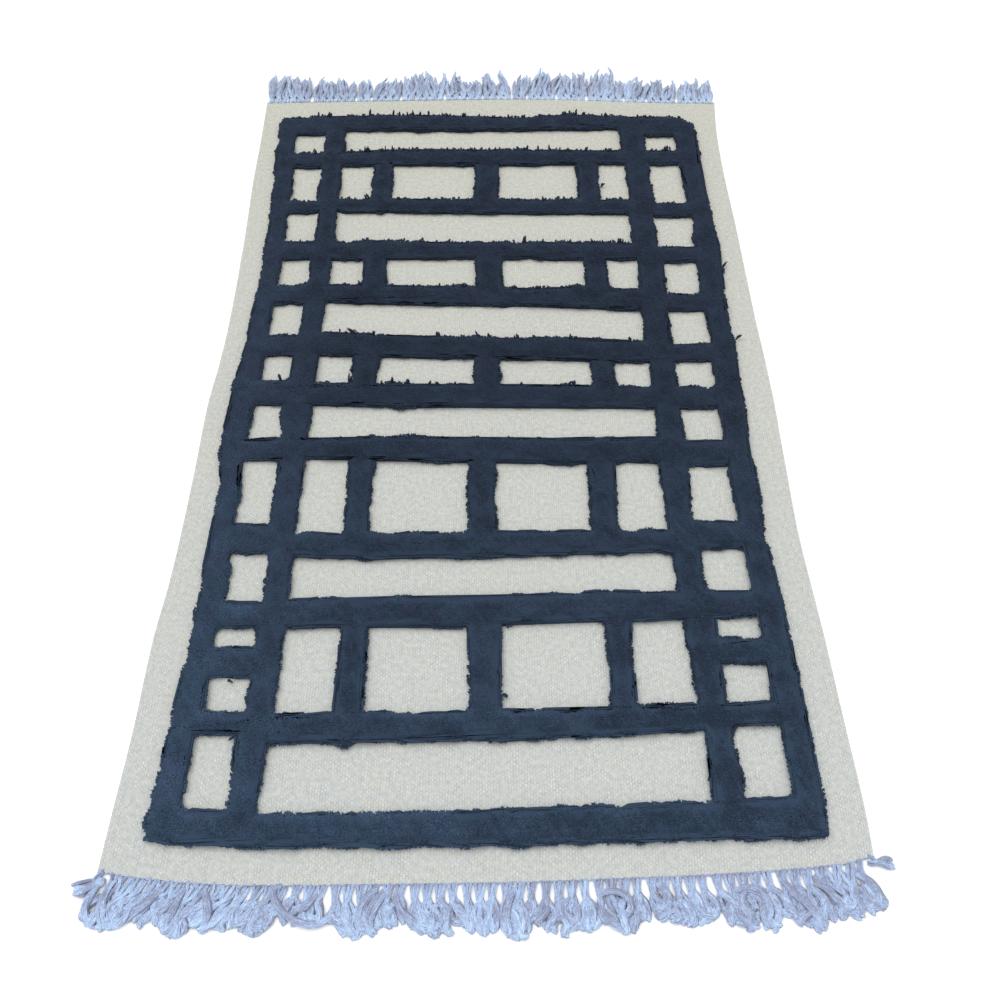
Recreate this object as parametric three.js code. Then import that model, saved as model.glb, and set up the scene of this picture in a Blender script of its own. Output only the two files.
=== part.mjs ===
// A hand-woven kilim rug, lying flat on the floor.
//
// A cream flat weave carries one open lattice of dark navy knotted pile. The warp ends are left free at
// both ends of the rug as a fringe. Millimetres, +Z up, +Y towards the far end, origin under the middle.
import * as THREE from "three";

// Thicknesses and heights.
const GROUND_THICKNESS = 3;
const PILE_HEIGHT = 11;
const FRINGE_THICKNESS = 4;
const PIECE_GAP = 0.3;

// How finely a long edge is divided.
const WOVEN_EDGE_STEP = 45;
const PILE_EDGE_STEP = 28;

// The two slow waves in which a hand-knotted edge strays from its line.
const PILE_WAVES = [
  { length: 130, height: 1.0 },
  { length: 52, height: 0.6 },
];

// The woven corners of the ground.
const GROUND_CORNERS = {
  farLeft: [-546, 903],
  farRight: [555, 873],
  nearRight: [551, -896],
  nearLeft: [-557, -907],
};

// The selvedges, from the far end to the near end: they draw in towards the middle of the rug.
const SELVEDGES = [
  { y: 750, left: -542, right: 545 },
  { y: 600, left: -540, right: 542 },
  { y: 450, left: -534, right: 544 },
  { y: 300, left: -530, right: 544 },
  { y: 150, left: -529, right: 544 },
  { y: 50, left: -531, right: 546 },
  { y: -50, left: -538, right: 546 },
  { y: -200, left: -537, right: 543 },
  { y: -350, left: -538, right: 540 },
  { y: -450, left: -541, right: 543 },
  { y: -550, left: -548, right: 547 },
  { y: -700, left: -549, right: 550 },
  { y: -820, left: -554, right: 553 },
];

// The woven ends, from left to right: the far end slants, and the near end bows outwards.
const FAR_END = [
  { x: -300, y: 904 },
  { x: 0, y: 903 },
  { x: 150, y: 898 },
  { x: 300, y: 887 },
  { x: 430, y: 878 },
];
const NEAR_END = [
  { x: -500, y: -916 },
  { x: -430, y: -923 },
  { x: -330, y: -928 },
  { x: -100, y: -928 },
  { x: 50, y: -927 },
  { x: 200, y: -923 },
  { x: 330, y: -919 },
  { x: 450, y: -912 },
  { x: 520, y: -905 },
];

// The outer edge of the pile: its corners, its two long sides and its two ends. The far right corner is
// cut off, because the knots there come back to the side in a curve.
const PILE_CORNERS = {
  farLeft: [-500, 827],
  farRightEnd: [466, 806],
  farRightSide: [489, 778],
  nearRight: [492, -869],
  nearLeft: [-500, -863],
};
const PILE_SIDES = [
  { y: 700, left: -497, right: 492 },
  { y: 600, left: -490, right: 489 },
  { y: 480, left: -484, right: 493 },
  { y: 380, left: -481, right: 497 },
  { y: 250, left: -481, right: 491 },
  { y: 130, left: -484, right: 488 },
  { y: 30, left: -489, right: 488 },
  { y: -80, left: -496, right: 487 },
  { y: -150, left: -494, right: 484 },
  { y: -250, left: -483, right: 483 },
  { y: -400, left: -484, right: 482 },
  { y: -520, left: -483, right: 488 },
  { y: -640, left: -489, right: 491 },
  { y: -760, left: -494, right: 493 },
];
const PILE_ENDS = [
  { x: -450, far: 829, near: -870 },
  { x: -300, far: 834, near: -877 },
  { x: -150, far: 832, near: -880 },
  { x: 0, far: 820, near: -880 },
  { x: 100, far: 816, near: -877 },
  { x: 200, far: 826, near: -873 },
  { x: 300, far: 814, near: -871 },
  { x: 400, far: 811, near: -872 },
];

// The windows of the lattice, a row of them at a time from the far end to the near end.
// far and near: how far up the rug the row starts and ends, at the left column, at the left and right
// ends of the middle, and at the right column. left, middle, right: where those start and end across it.
// uprights: the short bars that divide the middle. leftBar and rightBar: those that divide a side column.
const WINDOW_ROWS = [
  {
    far: [772, 787, 774, 748],
    near: [691, 695, 686, 681],
    left: [-457, -386],
    middle: [-339, 314],
    right: [370, 442],
  },
  {
    far: [650, 655, 645, 640],
    near: [524, 530, 510, 496],
    left: [-450, -384],
    middle: [-338, 318],
    right: [370, 445],
    uprights: [[-263, -218], [-29, 23], [204, 252]],
  },
  {
    far: [493, 494, 474, 461],
    near: [391, 388, 371, 356],
    left: [-444, -375],
    middle: [-336, 314],
    right: [366, 452],
  },
  {
    far: [343, 343, 328, 317],
    near: [257, 254, 232, 216],
    left: [-443, -378],
    middle: [-336, 318],
    right: [370, 442],
    uprights: [[-263, -215], [-24, 32], [204, 252]],
  },
  {
    far: [209, 213, 182, 174],
    near: [116, 123, 88, 77],
    left: [-443, -378],
    middle: [-336, 315],
    right: [365, 444],
  },
  {
    far: [67, 67, 40, 38],
    near: [0, -8, -30, -32],
    left: [-443, -384],
    middle: [-336, 318],
    right: [365, 440],
    uprights: [[-265, -215], [-27, 23], [202, 247]],
  },
  {
    far: [-56, -58, -75, -75],
    near: [-141, -143, -152, -160],
    left: [-447, -386],
    middle: [-336, 320],
    right: [365, 438],
  },
  {
    far: [-188, -185, -204, -213],
    near: [-331, -351, -353, -339],
    left: [-450, -381],
    middle: [-336, 315],
    right: [361, 440],
    uprights: [[-252, -208], [-35, 15], [181, 227]],
  },
  {
    far: [-384, -394, -393, -388],
    near: [-483, -480, -474, -472],
    left: [-442, -375],
    middle: [-332, 317],
    right: [364, 443],
  },
  {
    far: [-526, -527, -520, -518],
    near: [-671, -678, -670, -668],
    left: [-444, -377],
    middle: [-332, 328],
    right: [372, 446],
    uprights: [[-240, -195], [-32, 21], [193, 233]],
    leftBar: [-565, -613],
    rightBar: [-558, -600],
  },
  {
    far: [-708, -723, -708, -700],
    near: [-823, -829, -820, -815],
    left: [-451, -384],
    middle: [-338, 332],
    right: [378, 452],
  },
];

// The fringe: bundles of warp ends, evenly spaced along the woven edge, that splay out and lie together in
// clumps. A row is one clump, from left to right: how many bundles it takes, where their tips lie across
// the rug, and how far past the woven edge they reach.
const HEADING_DEPTH = 4;
const TIP_ROUNDING = 0.16;
const NEAR_CLUMPS = [
  { bundles: 3, from: -569, to: -510, reach: 72 },
  { bundles: 3, from: -506, to: -457, reach: 61 },
  { bundles: 2, from: -453, to: -424, reach: 71 },
  { bundles: 3, from: -415, to: -362, reach: 63 },
  { bundles: 3, from: -354, to: -307, reach: 65 },
  { bundles: 3, from: -290, to: -236, reach: 57 },
  { bundles: 4, from: -213, to: -153, reach: 69 },
  { bundles: 2, from: -146, to: -120, reach: 61 },
  { bundles: 4, from: -103, to: -32, reach: 70 },
  { bundles: 3, from: -24, to: 12, reach: 71 },
  { bundles: 3, from: 22, to: 66, reach: 75 },
  { bundles: 4, from: 72, to: 155, reach: 73 },
  { bundles: 4, from: 163, to: 224, reach: 68 },
  { bundles: 5, from: 238, to: 325, reach: 66 },
  { bundles: 5, from: 336, to: 428, reach: 76 },
  { bundles: 3, from: 434, to: 480, reach: 84 },
  { bundles: 4, from: 486, to: 556, reach: 76 },
];
const FAR_CLUMPS = [
  { bundles: 6, from: -546, to: -448, reach: 112 },
  { bundles: 6, from: -440, to: -332, reach: 94 },
  { bundles: 2, from: -326, to: -292, reach: 76 },
  { bundles: 4, from: -275, to: -214, reach: 100 },
  { bundles: 6, from: -209, to: -108, reach: 116 },
  { bundles: 3, from: -104, to: -56, reach: 98 },
  { bundles: 2, from: -52, to: -26, reach: 84 },
  { bundles: 4, from: -14, to: 44, reach: 106 },
  { bundles: 2, from: 74, to: 104, reach: 98 },
  { bundles: 4, from: 109, to: 185, reach: 114 },
  { bundles: 4, from: 190, to: 256, reach: 106 },
  { bundles: 5, from: 262, to: 336, reach: 124 },
  { bundles: 3, from: 342, to: 400, reach: 94 },
  { bundles: 4, from: 408, to: 464, reach: 102 },
  { bundles: 5, from: 478, to: 556, reach: 92 },
];

// The sections of one bundle, from its root to its tip: how far along it, how much of its lean it has
// taken by then, and its width as a share of the room between it and its neighbours.
const BUNDLE_SECTIONS = [
  { along: 0, lean: 0, width: 0.54 },
  { along: 0.36, lean: 0.25, width: 0.54 },
  { along: 0.74, lean: 0.8, width: 0.82 },
  { along: 1, lean: 1, width: 0.52 },
];

// The outermost bundle at each near corner lies out sideways: points along its middle, with its width there.
const NEAR_LEFT_STRAY = [
  { x: -549, y: -913, width: 9 },
  { x: -561, y: -924, width: 9 },
  { x: -575, y: -931, width: 11 },
  { x: -588, y: -928, width: 8 },
];
const NEAR_RIGHT_STRAY = [
  { x: 545, y: -903, width: 8 },
  { x: 556, y: -906, width: 6 },
  { x: 567, y: -906, width: 7 },
  { x: 578, y: -911, width: 9 },
];

function material(color, roughness) {
  return new THREE.MeshStandardMaterial({ color, roughness, metalness: 0 });
}

const creamWool = material(0xc9c8bd, 0.95);
const navyWool = material(0x293240, 1);
const paleBlueWarp = material(0xadc1de, 0.9);

// A smooth edge through a few points.
function smoothEdge(points, step) {
  const curve = new THREE.SplineCurve(points.map(([x, y]) => new THREE.Vector2(x, y)));
  return curve.getSpacedPoints(Math.round(curve.getLength() / step));
}

// Where an edge that runs across the rug lies at a given place across.
function edgeAt(edge, x) {
  const beyond = edge.findIndex((point) => point.x > x);
  const end = beyond < 0 ? edge.length - 1 : Math.max(1, beyond);
  const [from, to] = [edge[end - 1], edge[end]];
  return from.y + ((x - from.x) * (to.y - from.y)) / (to.x - from.x);
}

function flatPiece(name, shape, bottom, thickness, look) {
  const geometry = new THREE.ExtrudeGeometry(shape, { depth: thickness, bevelEnabled: false });
  const mesh = new THREE.Mesh(geometry, look);
  mesh.name = name;
  mesh.position.z = bottom;
  return mesh;
}

// The ground, as its four edges.
const farEdge = smoothEdge(
  [GROUND_CORNERS.farLeft, ...FAR_END.map(({ x, y }) => [x, y]), GROUND_CORNERS.farRight],
  WOVEN_EDGE_STEP,
);
const rightEdge = smoothEdge(
  [GROUND_CORNERS.farRight, ...SELVEDGES.map(({ y, right }) => [right, y]), GROUND_CORNERS.nearRight],
  WOVEN_EDGE_STEP,
);
const nearEdge = smoothEdge(
  [GROUND_CORNERS.nearLeft, ...NEAR_END.map(({ x, y }) => [x, y]), GROUND_CORNERS.nearRight],
  WOVEN_EDGE_STEP,
);
const leftEdge = smoothEdge(
  [GROUND_CORNERS.farLeft, ...SELVEDGES.map(({ y, left }) => [left, y]), GROUND_CORNERS.nearLeft],
  WOVEN_EDGE_STEP,
);

function makeGround() {
  const outline = [
    ...farEdge,
    ...rightEdge.slice(1),
    ...nearEdge.slice(0, -1).reverse(),
    ...leftEdge.slice(1, -1).reverse(),
  ];
  return flatPiece("ground_weave", new THREE.Shape(outline), 0, GROUND_THICKNESS, creamWool);
}

// How far the edge of the pile strays from its line at a distance along it.
function stray(distance) {
  const wave = ({ length, height }) => height * Math.sin((2 * Math.PI * distance) / length);
  return PILE_WAVES.reduce((sum, row) => sum + wave(row), 0);
}

// A hand-knotted line from one corner to the next, with the last corner left out. Where the line starts
// on the rug sets where its waves start, so that no two edges are alike.
function knottedLine([startX, startY], [endX, endY]) {
  const length = Math.hypot(endX - startX, endY - startY);
  const steps = Math.max(2, Math.round(length / PILE_EDGE_STEP));
  const [acrossX, acrossY] = [-(endY - startY) / length, (endX - startX) / length];
  const points = [];
  for (let i = 0; i < steps; i++) {
    const share = i / steps;
    const offset = i === 0 ? 0 : stray(startX + startY + share * length);
    points.push(
      new THREE.Vector2(
        startX + share * (endX - startX) + offset * acrossX,
        startY + share * (endY - startY) + offset * acrossY,
      ),
    );
  }
  return points;
}

// A closed outline through a few corners.
function knottedOutline(corners) {
  return corners.flatMap((corner, i) => knottedLine(corner, corners[(i + 1) % corners.length]));
}

function pileFrame() {
  const corners = [
    PILE_CORNERS.farLeft,
    ...PILE_ENDS.map(({ x, far }) => [x, far]),
    PILE_CORNERS.farRightEnd,
    PILE_CORNERS.farRightSide,
    ...PILE_SIDES.map(({ y, right }) => [right, y]),
    PILE_CORNERS.nearRight,
    ...PILE_ENDS.map(({ x, near }) => [x, near]).reverse(),
    PILE_CORNERS.nearLeft,
    ...PILE_SIDES.map(({ y, left }) => [left, y]).reverse(),
  ];
  return knottedOutline(corners);
}

// The windows of one row, each as its four corners.
function rowWindows({ far, near, left, middle, right, uprights = [], leftBar, rightBar }) {
  const slope = (ends, x) => ends[1] + ((x - middle[0]) / (middle[1] - middle[0])) * (ends[2] - ends[1]);
  const box = ([x0, x1], y0, y1) => [[x0, y0], [x1, y0], [x1, y1], [x0, y1]];
  const column = (span, from, to, bar) =>
    bar ? [box(span, from, bar[0]), box(span, bar[1], to)] : [box(span, from, to)];

  const starts = [middle[0], ...uprights.map((bar) => bar[1])];
  const ends = [...uprights.map((bar) => bar[0]), middle[1]];
  const inTheMiddle = starts.map((start, i) => [
    [start, slope(far, start)],
    [ends[i], slope(far, ends[i])],
    [ends[i], slope(near, ends[i])],
    [start, slope(near, start)],
  ]);
  return [
    ...column(left, far[0], near[0], leftBar),
    ...inTheMiddle,
    ...column(right, far[3], near[3], rightBar),
  ];
}

// The frame runs anticlockwise and the windows clockwise, as an outline and its holes do.
function makePile() {
  const shape = new THREE.Shape(pileFrame().reverse());
  for (const corners of WINDOW_ROWS.flatMap(rowWindows)) {
    shape.holes.push(new THREE.Path(knottedOutline(corners)));
  }
  return flatPiece("pile_lattice", shape, GROUND_THICKNESS + PIECE_GAP, PILE_HEIGHT, navyWool);
}

// The outline of a bundle, up one side and down the other, from its sections.
function bundleOutline(sections) {
  const sides = sections.map(({ x, y, width }, i) => {
    const before = sections[Math.max(0, i - 1)];
    const after = sections[Math.min(sections.length - 1, i + 1)];
    const length = Math.hypot(after.x - before.x, after.y - before.y);
    const halfX = ((width / 2) * (after.y - before.y)) / length;
    const halfY = ((width / 2) * (before.x - after.x)) / length;
    return [new THREE.Vector2(x + halfX, y + halfY), new THREE.Vector2(x - halfX, y - halfY)];
  });
  return [...sides.map(([one]) => one), ...sides.map(([, other]) => other).reverse()];
}

// The bundles of a fringe, from left to right. away is +1 towards the far end and -1 towards the near end.
function fringeBundles(clumps, edge, away, firstX, pitch) {
  const outlines = [];
  for (const { bundles, from, to, reach } of clumps) {
    const tipRoom = (to - from) / bundles;
    for (let i = 0; i < bundles; i++) {
      const rootX = firstX + outlines.length * pitch;
      const rootY = edgeAt(edge, rootX) + away * (PIECE_GAP + HEADING_DEPTH);
      const tipX = from + (i + 0.5) * tipRoom;
      const fromCentre = (2 * i + 1) / bundles - 1;
      const tipY = edgeAt(edge, rootX) + away * reach * (1 - TIP_ROUNDING * fromCentre ** 2);
      const sections = BUNDLE_SECTIONS.map(({ along, lean, width }) => ({
        x: rootX + lean * (tipX - rootX),
        y: rootY + along * (tipY - rootY),
        width: width * (pitch + along * (tipRoom - pitch)),
      }));
      outlines.push(bundleOutline(sections));
    }
  }
  return outlines;
}

// A comb: a narrow heading along the woven edge, and the bundles that leave it. Its outline comes back from
// right to left, so each bundle starts on its right side.
function makeFringe(name, edge, away, bundles) {
  const heading = edge.map(({ x, y }) => new THREE.Vector2(x, y + away * PIECE_GAP));
  const fromTheRight = (outline) => (outline[0].x > outline.at(-1).x ? outline : [...outline].reverse());
  const comb = bundles.map(fromTheRight).reverse().flat();
  return flatPiece(name, new THREE.Shape([...heading, ...comb]), 0, FRINGE_THICKNESS, paleBlueWarp);
}

function countBundles(clumps) {
  return clumps.reduce((sum, clump) => sum + clump.bundles, 0);
}

function makeNearFringe() {
  const leftX = NEAR_LEFT_STRAY[0].x;
  const pitch = (NEAR_RIGHT_STRAY[0].x - leftX) / (countBundles(NEAR_CLUMPS) + 1);
  const bundles = [
    bundleOutline(NEAR_LEFT_STRAY),
    ...fringeBundles(NEAR_CLUMPS, nearEdge, -1, leftX + pitch, pitch),
    bundleOutline(NEAR_RIGHT_STRAY),
  ];
  return makeFringe("fringe_near", nearEdge, -1, bundles);
}

function makeFarFringe() {
  const pitch = (GROUND_CORNERS.farRight[0] - GROUND_CORNERS.farLeft[0]) / countBundles(FAR_CLUMPS);
  const firstX = GROUND_CORNERS.farLeft[0] + pitch / 2;
  return makeFringe("fringe_far", farEdge, 1, fringeBundles(FAR_CLUMPS, farEdge, 1, firstX, pitch));
}

// The rug, with its origin on the floor under the middle of its full length and width.
const rug = new THREE.Group();
rug.add(makeGround(), makePile(), makeNearFringe(), makeFarFringe());
const middle = new THREE.Box3().setFromObject(rug).getCenter(new THREE.Vector3());
rug.position.set(-middle.x, -middle.y, 0);

const kilimRug = new THREE.Group();
kilimRug.add(rug);

export default kilimRug;
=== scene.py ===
# %% [markdown]
# # A kilim rug with a lattice of pile
#
# A kilim is a flat-woven wool rug. On this one the weaver also knotted dark navy tufts into the cloth, in
# bars that make an open lattice, and left the warp ends free at both ends as a fringe.
#
# The solid model gives every outline and height. This script adds what a solid can't show: yarn, tufts and
# the way the cloth lies. Everything is in metres, with +Z up and +Y towards the far end of the rug.

# %% Load the solid model
import math

import bmesh
import bpy
import numpy as np
from mathutils import Matrix, Vector
from mathutils.bvhtree import BVHTree


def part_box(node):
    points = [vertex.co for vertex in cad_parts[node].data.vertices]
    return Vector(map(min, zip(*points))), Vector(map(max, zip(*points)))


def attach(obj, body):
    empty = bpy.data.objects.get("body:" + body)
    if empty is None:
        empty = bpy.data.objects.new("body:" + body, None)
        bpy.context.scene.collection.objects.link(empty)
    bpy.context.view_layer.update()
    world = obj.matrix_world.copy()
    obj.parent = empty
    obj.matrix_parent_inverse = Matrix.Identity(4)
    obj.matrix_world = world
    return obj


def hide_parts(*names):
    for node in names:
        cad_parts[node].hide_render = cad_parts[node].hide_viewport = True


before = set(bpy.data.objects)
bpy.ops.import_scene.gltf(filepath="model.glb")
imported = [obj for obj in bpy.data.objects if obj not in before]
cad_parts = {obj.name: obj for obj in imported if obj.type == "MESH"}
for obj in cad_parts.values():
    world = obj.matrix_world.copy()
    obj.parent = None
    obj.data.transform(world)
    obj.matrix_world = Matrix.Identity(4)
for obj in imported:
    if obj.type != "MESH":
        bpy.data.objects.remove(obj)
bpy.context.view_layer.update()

MM = 0.001

# %% [markdown]
# ## Camera
#
# The rug was seen from above its near end by a standing person. A camera's place can be found by trial, or
# worked out from how the rug's straight sides run together. Working it out was chosen here, because then
# every bar of the lattice falls where it should.

# %% Set up the camera
CAMERA_PLACE = Vector((0.0389, -1.2221, 1.421))
CAMERA_DOWN, CAMERA_LEFT, CAMERA_ROLL = math.radians(56.68), math.radians(0.75), math.radians(-1.365)
CAMERA_LENS = 34.2


def add_object(name, data):
    """Puts new data into the scene as an object."""
    thing = bpy.data.objects.new(name, data)
    bpy.context.scene.collection.objects.link(thing)
    return thing


camera = add_object("camera", bpy.data.cameras.new("camera"))
camera.data.lens = CAMERA_LENS
camera.matrix_world = (
    Matrix.Translation(CAMERA_PLACE)
    @ Matrix.Rotation(CAMERA_LEFT, 4, "Z")
    @ Matrix.Rotation(math.pi / 2 - CAMERA_DOWN, 4, "X")
    @ Matrix.Rotation(CAMERA_ROLL, 4, "Z")
)
bpy.context.scene.camera = camera
print("camera height, metres:", CAMERA_PLACE.z)

# %% [markdown]
# ## Nodes in one call
#
# A finish is a small network of shader nodes. Building it by hand takes a line for each node, setting and
# link. One helper that does all three keeps each finish short enough to read as a recipe. A second helper
# turns a finished bmesh, the workshop where shapes are made, into an object.

# %% Make the material helpers
def linear(hex_colour):
    """An sRGB colour such as 0xC8C7BE as the linear RGBA that shaders work in."""
    shares = [(hex_colour >> bits & 255) / 255 for bits in (16, 8, 0)]
    return [s / 12.92 if s <= 0.04045 else ((s + 0.055) / 1.055) ** 2.4 for s in shares] + [1.0]


def add_node(tree, kind, inputs=None, **settings):
    """Adds a node. An input is given a value, or another node, or a socket of one, to link it to."""
    node = tree.nodes.new("ShaderNode" + kind)
    for name, value in settings.items():
        setattr(node, name, value)
    for name, value in (inputs or {}).items():
        if isinstance(value, bpy.types.Node):
            value = next(socket for socket in value.outputs if socket.enabled)
        if isinstance(value, bpy.types.NodeSocket):
            tree.links.new(value, node.inputs[name])
        else:
            node.inputs[name].default_value = value
    return node


def new_material(name):
    """An empty node material."""
    material = bpy.data.materials.new(name)
    material.use_nodes = True
    material.node_tree.nodes.clear()
    return material


def finished(name, bm):
    """Turns a finished bmesh into an object."""
    mesh = bpy.data.meshes.new(name)
    bm.to_mesh(mesh)
    bm.free()
    return add_object(name, mesh)


print("helpers ready")

# %% [markdown]
# ## Floor and light
#
# The rug lies on a plain white floor in even daylight. A bright world gives the soft light from all round.
# A broad sun high up on the left gives the bars of pile and the yarns of the fringe a little shape. A studio
# lamp could do this too, but it would light one end of the rug more than the other.

# %% Lay the floor and light the scene
FLOOR_SIZE = 14.0
SUN_FROM, SUN_STRENGTH, SUN_SOFTNESS = Vector((-0.4, 0.25, 1.6)), 1.48, math.radians(70)
WORLD_STRENGTH = 0.86

bm = bmesh.new()
bmesh.ops.create_grid(bm, x_segments=1, y_segments=1, size=FLOOR_SIZE / 2)
floor = finished("floor", bm)

# Matt white paint: even and bright, with no gloss.
matt_white_paint = new_material("matt_white_paint")
paint = add_node(matt_white_paint.node_tree, "BsdfPrincipled", {"Base Color": linear(0xFAFAFA), "Roughness": 0.9})
add_node(matt_white_paint.node_tree, "OutputMaterial", {"Surface": paint})
floor.data.materials.append(matt_white_paint)

world = bpy.data.worlds.new("daylight")
world.use_nodes = True
sky = world.node_tree.nodes["Background"]
sky.inputs["Color"].default_value = linear(0xFAFCFF)
sky.inputs["Strength"].default_value = WORLD_STRENGTH
bpy.context.scene.world = world

sun = add_object("daylight_sun", bpy.data.lights.new("daylight_sun", "SUN"))
sun.data.energy = SUN_STRENGTH
sun.data.angle = SUN_SOFTNESS
sun.rotation_euler = (-SUN_FROM).to_track_quat("-Z", "Y").to_euler()

bpy.context.scene.view_settings.view_transform = "Standard"
print("floor", FLOOR_SIZE, "m across, sun softness", round(math.degrees(SUN_SOFTNESS)), "degrees")

# %% [markdown]
# ## How the cloth lies
#
# A hand-woven rug never lies dead flat. It keeps soft ridges where it was folded, and its sides lift a
# little. These could be simulated, but a handful of listed ridges is surer: each has a place, a
# direction, a length, a width and a height. One function gives the lift of the cloth at any place, so
# the pile and the fringe can follow the cloth.

# %% Shape the lie of the cloth
RIDGES = [  # x, y, turn in degrees, length, width and height, in millimetres
    (530, -54, -35, 70, 16, 2.2), (538, -110, -30, 60, 18, 1.6), (300, -118, -12, 90, 14, 1.2),
    (-520, 60, 20, 80, 24, 1.6), (-525, 330, -14, 90, 22, 1.4), (-30, -440, 3, 260, 34, 0.9),
    (60, 420, -4, 240, 36, 0.8), (-60, -915, 2, 220, 26, 1.2), (400, -890, 12, 120, 24, 1.4),
    (260, 868, -5, 160, 22, 1.2),
]


def cloth_lift(x, y):
    """How far the cloth stands off the floor at places on the rug, in metres."""
    lift = np.zeros(np.shape(x))
    for middle_x, middle_y, degrees, length, width, height in RIDGES:
        turn = math.radians(degrees)
        from_x, from_y = x - middle_x * MM, y - middle_y * MM
        along = from_x * math.cos(turn) + from_y * math.sin(turn)
        across = from_y * math.cos(turn) - from_x * math.sin(turn)
        lift += height * MM * np.exp(-((along / (length * MM)) ** 2) - (across / (width * MM)) ** 2)
    return lift


print("ridges:", len(RIDGES), "highest, mm:", max(ridge[-1] for ridge in RIDGES))

# %% [markdown]
# ## Outlines from the solid model
#
# The cloth, the pile and the fringe all have to follow the solid model's outlines. Its meshes are loose
# triangles, so a copy is merged first. An edge between a top face and a side face is then on an outline,
# and walking from edge to edge gives each outline in order.

# %% Read the outlines
SAME_POINT = 0.02 * MM


def merged_copy(node):
    """A bmesh of a solid from the model, with its loose triangles joined."""
    bm = bmesh.new()
    bm.from_mesh(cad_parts[node].data)
    bmesh.ops.remove_doubles(bm, verts=bm.verts, dist=SAME_POINT)
    return bm


def outlines(node):
    """The closed outlines of a flat solid, longest first, each as an array of (x, y)."""
    bm = merged_copy(node)
    ahead = {}
    for face in bm.faces:
        for loop in face.loops:
            beside = [other.normal.z for other in loop.edge.link_faces if other is not face]
            if face.normal.z > 0.5 and beside and beside[0] < 0.5:
                ahead[loop.vert.index] = loop.link_loop_next.vert.index
    places = {vert.index: (vert.co.x, vert.co.y) for vert in bm.verts}
    bm.free()
    found = []
    while ahead:
        here = min(ahead)
        loop = []
        while here in ahead:
            loop.append(places[here])
            here = ahead.pop(here)
        found.append(np.array(loop))
    return sorted(found, key=len, reverse=True)


ground_outline = outlines("ground_weave")[0]
pile_outlines = outlines("pile_lattice")
ground_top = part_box("ground_weave")[1].z
pile_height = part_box("pile_lattice")[1].z - ground_top
print("cloth outline:", len(ground_outline), "points; windows in the pile:", len(pile_outlines) - 1)

# %% [markdown]
# ## The flat weave
#
# The ground is undyed cream wool, woven so tightly that only the crossing yarn, the weft, shows. A sheet
# like this could be cut from the outline as one flat face, but then it couldn't ripple. So a fine grid is
# stretched between the four edges of the cloth, as the yarns are, and each point is lifted by the ridges.
# The grid's own directions then give a map of the yarns for the finish.

# %% Find the four edges of the cloth
def even_steps(points, count):
    """Points spaced evenly along a line."""
    lengths = np.concatenate([[0], np.cumsum(np.linalg.norm(np.diff(points, axis=0), axis=1))])
    at = np.linspace(0, lengths[-1], count)
    return np.column_stack([np.interp(at, lengths, points[:, axis]) for axis in (0, 1)])


near_left = np.argmin(ground_outline.sum(axis=1))
ground_outline = np.roll(ground_outline, -near_left, axis=0)
near_right = np.argmax(ground_outline[:, 0] - ground_outline[:, 1])
far_right = np.argmax(ground_outline.sum(axis=1))
far_left = np.argmin(ground_outline[:, 0] - ground_outline[:, 1])
near_line = ground_outline[: near_right + 1]
right_line = ground_outline[near_right : far_right + 1]
far_line = ground_outline[far_right : far_left + 1][::-1]
left_line = np.vstack([ground_outline[far_left:], ground_outline[:1]])[::-1]
print("points on the near, right, far and left edges:", *map(len, (near_line, right_line, far_line, left_line)))

# %% Stretch the cloth between its edges
CLOTH_WIDTH, CLOTH_LENGTH = 1.10, 1.80
CLOTH_STEP = 11 * MM
RIM_ANGLE = math.radians(40)
columns, rows = round(CLOTH_WIDTH / CLOTH_STEP), round(CLOTH_LENGTH / CLOTH_STEP)


def stretch_cloth():
    """The cloth: a grid between four edges, made thick, with a map of the yarns in metres."""
    near, far = even_steps(near_line, columns + 1), even_steps(far_line, columns + 1)
    left, right = even_steps(left_line, rows + 1), even_steps(right_line, rows + 1)
    bm = bmesh.new()
    bmesh.ops.create_grid(bm, x_segments=columns, y_segments=rows, size=0.5)
    yarns = bm.loops.layers.uv.new("yarns")
    for vert in bm.verts:
        u, v = vert.co.x + 0.5, vert.co.y + 0.5
        i, j = round(u * columns), round(v * rows)
        lengthwise = (1 - v) * near[i] + v * far[i]
        crosswise = (1 - u) * left[j] + u * right[j]
        corners = (1 - v) * ((1 - u) * near[0] + u * near[-1]) + v * ((1 - u) * far[0] + u * far[-1])
        for loop in vert.link_loops:
            loop[yarns].uv = (u * CLOTH_WIDTH, v * CLOTH_LENGTH)
        vert.co = (*(lengthwise + crosswise - corners), 0)
    for vert in bm.verts:
        vert.co.z = ground_top + float(cloth_lift(vert.co.x, vert.co.y))
    bmesh.ops.recalc_face_normals(bm, faces=bm.faces)
    bmesh.ops.solidify(bm, geom=bm.faces[:], thickness=ground_top)
    for edge in bm.edges:
        edge.smooth = edge.calc_face_angle() < RIM_ANGLE
    for face in bm.faces:
        face.smooth = True
    return finished("cream_flat_weave", bm)


cloth = stretch_cloth()
print("cloth faces:", len(cloth.data.polygons))

# %% [markdown]
# The finish of the cloth is weft-faced plain weave. The weft is beaten down over the warp, so ribs run along
# the rug, and each is a stack of short floats. The floats of one rib sit between those of the next, as
# bricks do. So a brick pattern stands for them, on the map of the yarns, turned by a quarter. The real floats
# are finer than the picture can show, so they are drawn a little coarser. Wool is flecked, and each length
# of weft is a slightly different cream. The near end is painted a little bluer and the far end a little
# yellower, as painted light.

# %% Finish the flat weave
RIB_WIDTH, FLOAT_STACK = 4.2, 6.4  # millimetres


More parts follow.
